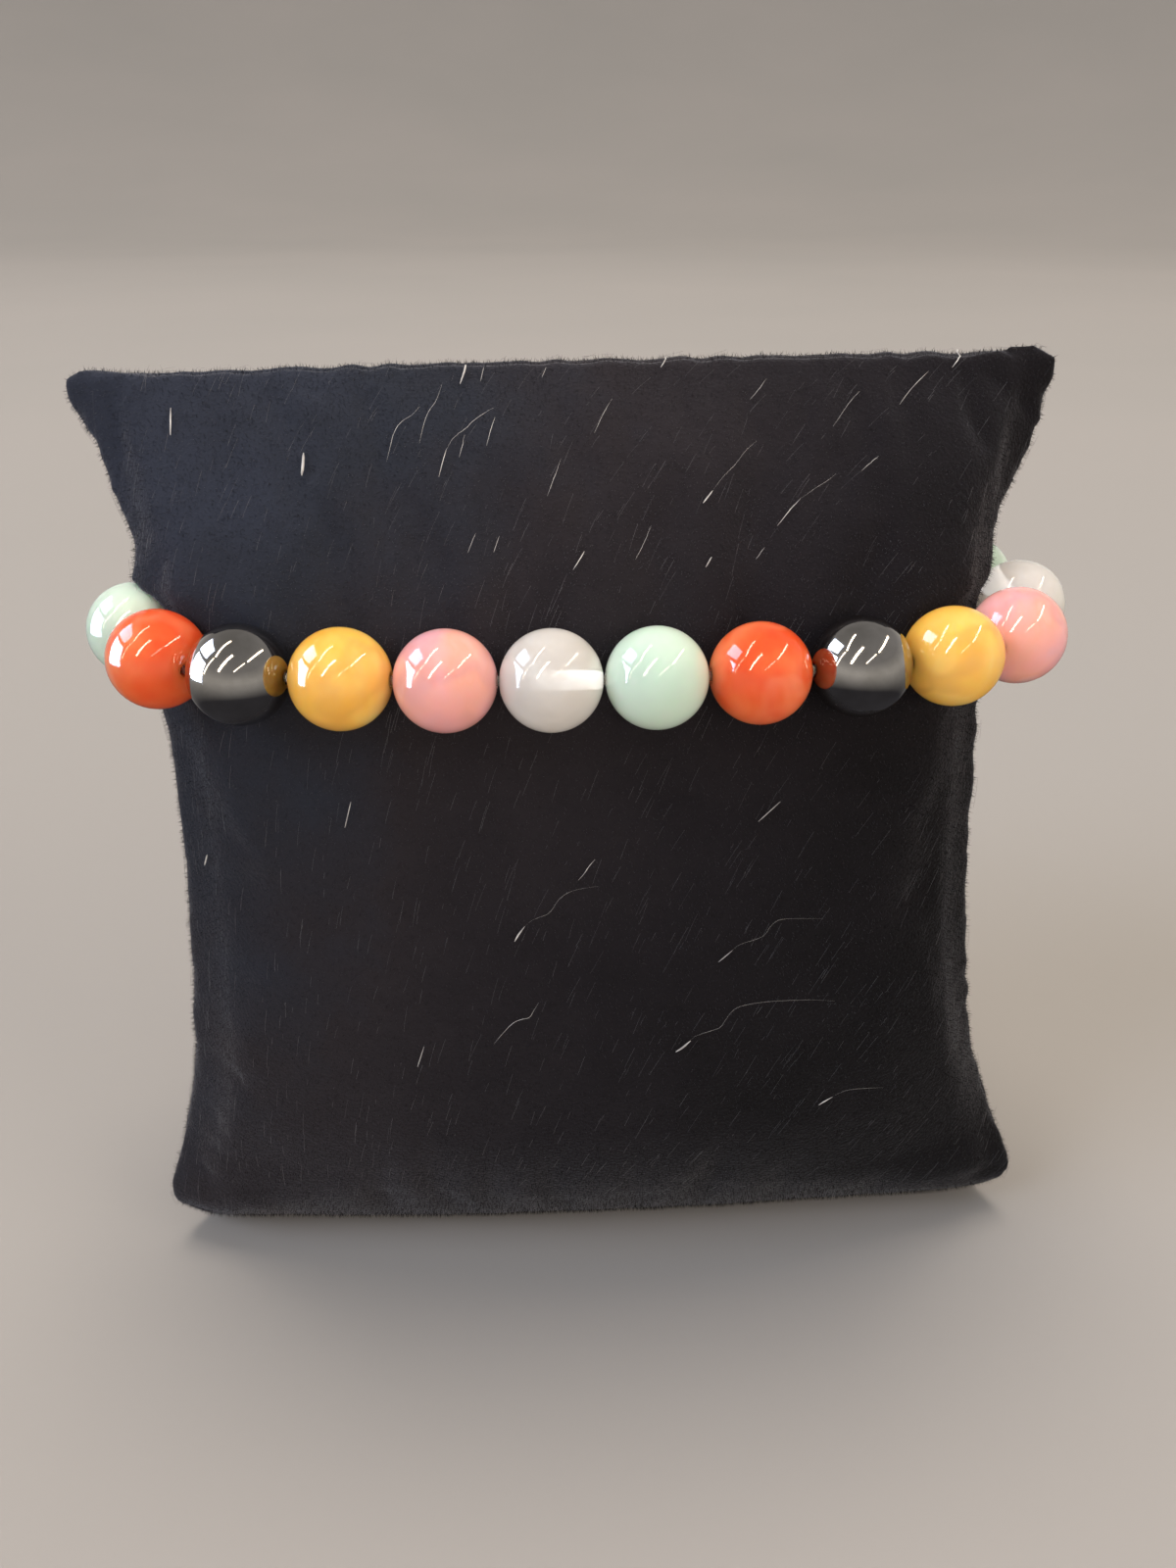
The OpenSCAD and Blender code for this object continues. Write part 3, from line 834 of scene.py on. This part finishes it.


# Lint: pale cotton dust and short fibres that cling to the velvet. The many small ones are partly painted
# glints, pale marks for light caught on the pile. They lie with its nap, which runs straight down on the
# left and slants more and more towards the right.
lintLook = {
    "dustAndGlints": [(0.35, "#3A3A40"), (0.65, "#78777B")], "thread": [(0.35, "#A8A6A6"), (0.65, "#DCDAD6")],
    "cloud": 1.5, "shader": {"Roughness": 0.9, "Specular IOR Level": 0.0, "Sheen Weight": 0.3},
    "fibres": 3200, "length": 2.2 * mm, "bow": 0.05 * mm, "thin": 0.008 * mm, "lift": 0.30 * mm,
    "lowest": 3.0 * mm, "shortest": 0.12, "longest": 1.3, "lean": (2.0, 42.0), "stray": 0.09,
    "seed": 21, "lengthSeed": 5, "points": 4, "sides": 3,
    # single threads, laid on from the front: x and z in millimetres along each, then its thickness
    "front": -100 * mm, "strandSides": 5, "rounds": 3, "taper": 0.7,
    "strands": [
        ([(-22.2, 77.7), (-22.1, 79.2)], 0.24), ([(-33.2, 80.3), (-33.3, 82.2)], 0.14),
        ([(-33.2, 45), (-32.7, 46.3)], 0.14), ([(-20, 51.1), (-19.3, 53.5)], 0.08),
        ([(14.3, 50.9), (16.1, 52.6)], 0.08), ([(-15.3, 28), (-14.6, 30.2)], 0.08),
        ([(-9.5, 83.8), (-9.2, 84.6), (-9, 85.3)], 0.16), ([(-7.9, 84), (-7.6, 84.9)], 0.045),
        ([(-15.4, 78.7), (-15.1, 79.7), (-14.8, 80.8), (-14.2, 81.5), (-13.4, 81.8),
         (-12.8, 82.4)], 0.034),
        ([(-12.8, 80), (-12.5, 81.1), (-12.1, 82.1), (-11.4, 82.8), (-11, 83.8)], 0.034),
        ([(-11.3, 77.8), (-11, 78.8), (-10.7, 79.6)], 0.07),
        ([(-10.7, 79.6), (-10.3, 80.2), (-9.7, 80.6), (-9, 80.9), (-8.4, 81.5), (-7.7, 81.9),
         (-6.8, 82.3)], 0.036), ([(-9.6, 79), (-9.4, 79.6), (-9.1, 80.5)], 0.04),
        ([(-7.4, 79.9), (-7.1, 80.8), (-6.7, 81.7)], 0.045), ([(-2.8, 84.2), (-2.4, 84.9)], 0.035),
        ([(7.1, 84.8), (7.8, 85.5)], 0.09), ([(1.3, 80.6), (1.9, 81.6), (2.8, 82.8)], 0.032),
        ([(-2.7, 76.5), (-2.3, 77.3), (-1.6, 78.9)], 0.032), ([(-9.1, 72.7), (-8.5, 74)], 0.045),
        ([(-7.1, 72.6), (-6.6, 73.7)], 0.035), ([(-0.8, 71.5), (0.1, 72.7)], 0.08),
        ([(4.1, 72.1), (4.9, 73.2), (5.5, 74.3)], 0.032), ([(9.7, 75.8), (10.5, 76.6)], 0.13),
        ([(10.5, 76.6), (11.4, 77.5), (12.4, 78.2), (13.4, 79.2), (14.5, 79.7)], 0.019),
        ([(9.7, 71.4), (10.2, 72.1)], 0.1), ([(13.9, 71.6), (14.7, 72.4)], 0.045),
        ([(14.3, 82.6), (15.8, 84)], 0.034), ([(15.8, 73.9), (16.9, 75), (17.8, 75.8)], 0.07),
        ([(17.8, 75.8), (18.9, 76.4), (20.1, 76.9), (20.9, 77.4)], 0.018),
        ([(23, 77.5), (24.5, 78.6)], 0.036), ([(20.9, 80.7), (22.3, 82.1), (23.6, 83)], 0.036),
        ([(26.8, 82), (28.2, 83.2), (29.7, 84.3)], 0.048),
        ([(31.8, 84.5), (32.7, 85.3), (34.1, 86)], 0.11),
        ([(-0.8, 46.3), (-0.3, 46.9), (0.1, 47.6), (0.6, 48.2)], 0.05),
        ([(-6.3, 40.7), (-6, 41.3), (-5.4, 42.1)], 0.15),
        ([(-5.4, 42.1), (-4.7, 42.7), (-3.5, 43.1), (-3.1, 43.5), (-2.8, 44), (-2.5, 44.5),
         (-1.7, 45.2), (-0.7, 45.5), (0.9, 45.7)], 0.016),
        ([(11.3, 37.9), (11.8, 38.3), (12.5, 38.9)], 0.08),
        ([(12.5, 38.9), (13.1, 39.4), (13.9, 39.6), (14.8, 39.8), (15.4, 40.1), (15.7, 40.7),
         (16.1, 41.2), (16.7, 41.5), (18.3, 41.4), (20.5, 41.1)], 0.013),
        ([(7.7, 29.1), (8.3, 29.5), (9, 30.2)], 0.18),
        ([(9, 30.2), (9.5, 30.7), (11.1, 31.1), (11.7, 31.3), (12.1, 32), (12.5, 32.7), (13.1, 33.2),
         (14.2, 33.4), (15.7, 33.5), (19.4, 33.3), (22.1, 32.7)], 0.016),
        ([(21.5, 21.1), (22, 21.4), (22.8, 21.8)], 0.12),
        ([(22.8, 21.8), (23.5, 22.1), (24.4, 22.3), (25.8, 22.1), (27.9, 21.7)], 0.014),
        ([(-8.4, 30.6), (-8, 31.2), (-6.8, 32.7), (-6, 33.1), (-5.2, 33.2), (-4.9, 33.8),
         (-4.4, 34.7)], 0.035),
    ],
}


def lintTree():
    tree, given = startTree("lint", [
        ("Skin", "Geometry"), ("Density", "Float"), ("Start", "Vector"), ("Middle", "Vector"),
        ("End", "Vector"), ("Radius", "Float"), ("Lift", "Float"), ("Lowest", "Float"),
        ("Shortest", "Float"), ("Longest", "Float"), ("Left", "Float"), ("Right", "Float"),
        ("Lean Left", "Float"), ("Lean Right", "Float"), ("Least Stray", "Vector"),
        ("Most Stray", "Vector"), ("Seed", "Int"), ("Length Seed", "Int"), ("Points", "Int"),
        ("Sides", "Int"), ("Lint", "Material")])
    point = addNode(tree, "GeometryNodeInputPosition")
    place = addNode(tree, "ShaderNodeSeparateXYZ", {"Vector": point}).outputs
    high = addNode(tree, "ShaderNodeMath", {0: place["Z"], 1: given["Lowest"]}, operation="GREATER_THAN")
    spots = addNode(tree, "GeometryNodeDistributePointsOnFaces", {
        "Mesh": given["Skin"], "Selection": high, "Density": given["Density"], "Seed": given["Seed"]})
    lean = addNode(tree, "ShaderNodeMapRange", {
        "Value": place["X"], "From Min": given["Left"], "From Max": given["Right"],
        "To Min": given["Lean Left"], "To Max": given["Lean Right"]})
    sideways = addNode(tree, "ShaderNodeMath", {0: lean}, operation="SINE")
    upwards = addNode(tree, "ShaderNodeMath", {0: lean}, operation="COSINE")
    nap = addNode(tree, "ShaderNodeCombineXYZ", {"X": sideways, "Z": upwards})
    stray = addNode(tree, "FunctionNodeRandomValue", {
        0: given["Least Stray"], 1: given["Most Stray"], "Seed": given["Seed"]}, data_type="FLOAT_VECTOR")
    way = addNode(tree, "ShaderNodeVectorMath", {0: nap, 1: stray}, operation="ADD")
    flat = addNode(tree, "FunctionNodeAlignRotationToVector", {"Vector": spots.outputs["Normal"]}, axis="Z")
    turn = addNode(tree, "FunctionNodeAlignRotationToVector",
                   {"Rotation": flat, "Vector": way}, axis="X", pivot_axis="Z")
    offset = addNode(tree, "ShaderNodeVectorMath", {0: spots.outputs["Normal"], "Scale": given["Lift"]},
                     operation="SCALE")
    lifted = addNode(tree, "GeometryNodeSetPosition", {"Geometry": spots, "Offset": offset})
    fibre = addNode(tree, "GeometryNodeCurveQuadraticBezier", {
        "Resolution": given["Points"], "Start": given["Start"], "Middle": given["Middle"],
        "End": given["End"]})
    size = addNode(tree, "FunctionNodeRandomValue", {
        2: given["Shortest"], 3: given["Longest"], "Seed": given["Length Seed"]}, data_type="FLOAT")
    placed = addNode(tree, "GeometryNodeInstanceOnPoints", {
        "Points": lifted, "Instance": fibre, "Rotation": turn, "Scale": size.outputs[1]})
    curves = addNode(tree, "GeometryNodeRealizeInstances", {"Geometry": placed})
    ring = addNode(tree, "GeometryNodeCurvePrimitiveCircle",
                   {"Resolution": given["Sides"], "Radius": given["Radius"]})
    tube = addNode(tree, "GeometryNodeCurveToMesh",
                   {"Curve": curves, "Profile Curve": ring, "Fill Caps": True})
    endTree(tree, tube, given["Lint"])
    return tree


def strandTree():  # a round thread along each line of the mesh, thin at its ends
    tree, given = startTree("lint_strands", [
        ("Lines", "Geometry"), ("Sides", "Int"), ("Lint", "Material")])
    threads = addNode(tree, "GeometryNodeMeshToCurve", {"Mesh": given["Lines"]})
    thickness = addNode(tree, "GeometryNodeInputNamedAttribute", {"Name": "thickness"}, data_type="FLOAT")
    ring = addNode(tree, "GeometryNodeCurvePrimitiveCircle", {"Resolution": given["Sides"], "Radius": 0.5})
    tube = addNode(tree, "GeometryNodeCurveToMesh", {
        "Curve": threads, "Profile Curve": ring, "Scale": thickness, "Fill Caps": True})
    endTree(tree, tube, given["Lint"])
    return tree


def strandLines(look, pillow):  # each strand as a line of points laid on the pillow's front
    surface = BVHTree.FromPolygons([v.co for v in pillow.data.vertices],
                                   [face.vertices for face in pillow.data.polygons])
    points, edges, sizes = [], [], []
    for corners, thick in look["strands"]:
        first = len(points)
        line = np.array(corners) * mm
        for _ in range(look["rounds"]):  # a round cuts a quarter off each corner and keeps the ends
            near, far = line[:-1], line[1:]
            inner = np.stack((0.75 * near + 0.25 * far, 0.25 * near + 0.75 * far), axis=1)
            inner = inner.reshape(-1, 2)
            line = np.vstack((line[:1], inner[1:-1] if len(line) > 2 else inner, line[-1:]))
        for share, (x, z) in zip(np.linspace(-1, 1, len(line)), line):
            spot, normal = surface.ray_cast(Vector((x, look["front"], z)), Vector((0, 1, 0)))[:2]
            if spot is not None:
                points.append(spot + normal * (look["lift"] + thick * mm / 2))
                sizes.append(thick * mm * (1 - look["taper"] * share ** 4))
        edges += [(i, i + 1) for i in range(first, len(points) - 1)]
    mesh = newMesh("strand_lines", points, edges, [])
    mesh.attributes.new("thickness", "FLOAT", "POINT").data.foreach_set("value", sizes)
    return mesh


def makeLint(look, pillow):
    # the many small fibres: pale dust, partly painted glints standing in for light caught on the pile
    dustAndGlints = cloudyMaterial("cotton_dust_and_glints", {**look, "tones": look["dustAndGlints"]})
    thread = cloudyMaterial("cotton_threads", {**look, "tones": look["thread"]})
    low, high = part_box("pillow")
    leanLeft, leanRight = [math.radians(angle) for angle in look["lean"]]
    half, bow, stray = look["length"] / 2, look["bow"], look["stray"]
    lint = grow("lint_and_glint_fibres", lintTree(), {
        "Density": look["fibres"] / skinArea(pillow.data), "Start": (-half, 0, 0), "Middle": (0, bow, bow),
        "End": (half, 0, 0), "Radius": look["thin"], "Lift": look["lift"], "Lowest": look["lowest"],
        "Shortest": look["shortest"], "Longest": look["longest"], "Left": low[0], "Right": high[0],
        "Lean Left": leanLeft, "Lean Right": leanRight,
        "Least Stray": (-stray, -stray, -stray), "Most Stray": (stray, stray, stray),
        "Seed": look["seed"], "Length Seed": look["lengthSeed"], "Points": look["points"],
        "Sides": look["sides"], "Lint": dustAndGlints}, pillow.data)
    strands = grow("lint_strands", strandTree(), {"Sides": look["strandSides"], "Lint": thread},
                   strandLines(look, pillow))
    for piece in (lint, strands):
        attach(piece, "root")
        print(piece.name + ":", len(piece.data.polygons), "faces")


bpy.context.scene.view_settings.view_transform = "Standard"
makeCamera(cameraLook)
makeLights(lightLook)
makeFloor(floorLook)
stones = {name: polishedStone(name + "_polished", look, polishLook) for name, look in stoneLooks.items()}
stones["hematite"] = cloudyMaterial("polished_hematite", hematiteLook, Detail=3.0)
beadCentres = makeBeads(beadLook, stones, frostedGlowingBore(frostAndGlowLook))
dressCord(cordLook)
velvet = velvetMaterial("black_cotton_velvet", velvetLook)
pillow = makePillow(pillowLook, beadCentres, velvet)
makePile(pileLook, pillow, beadCentres, velvet)
makeLint(lintLook, pillow)
pillow.data.attributes.remove(pillow.data.attributes["room"])
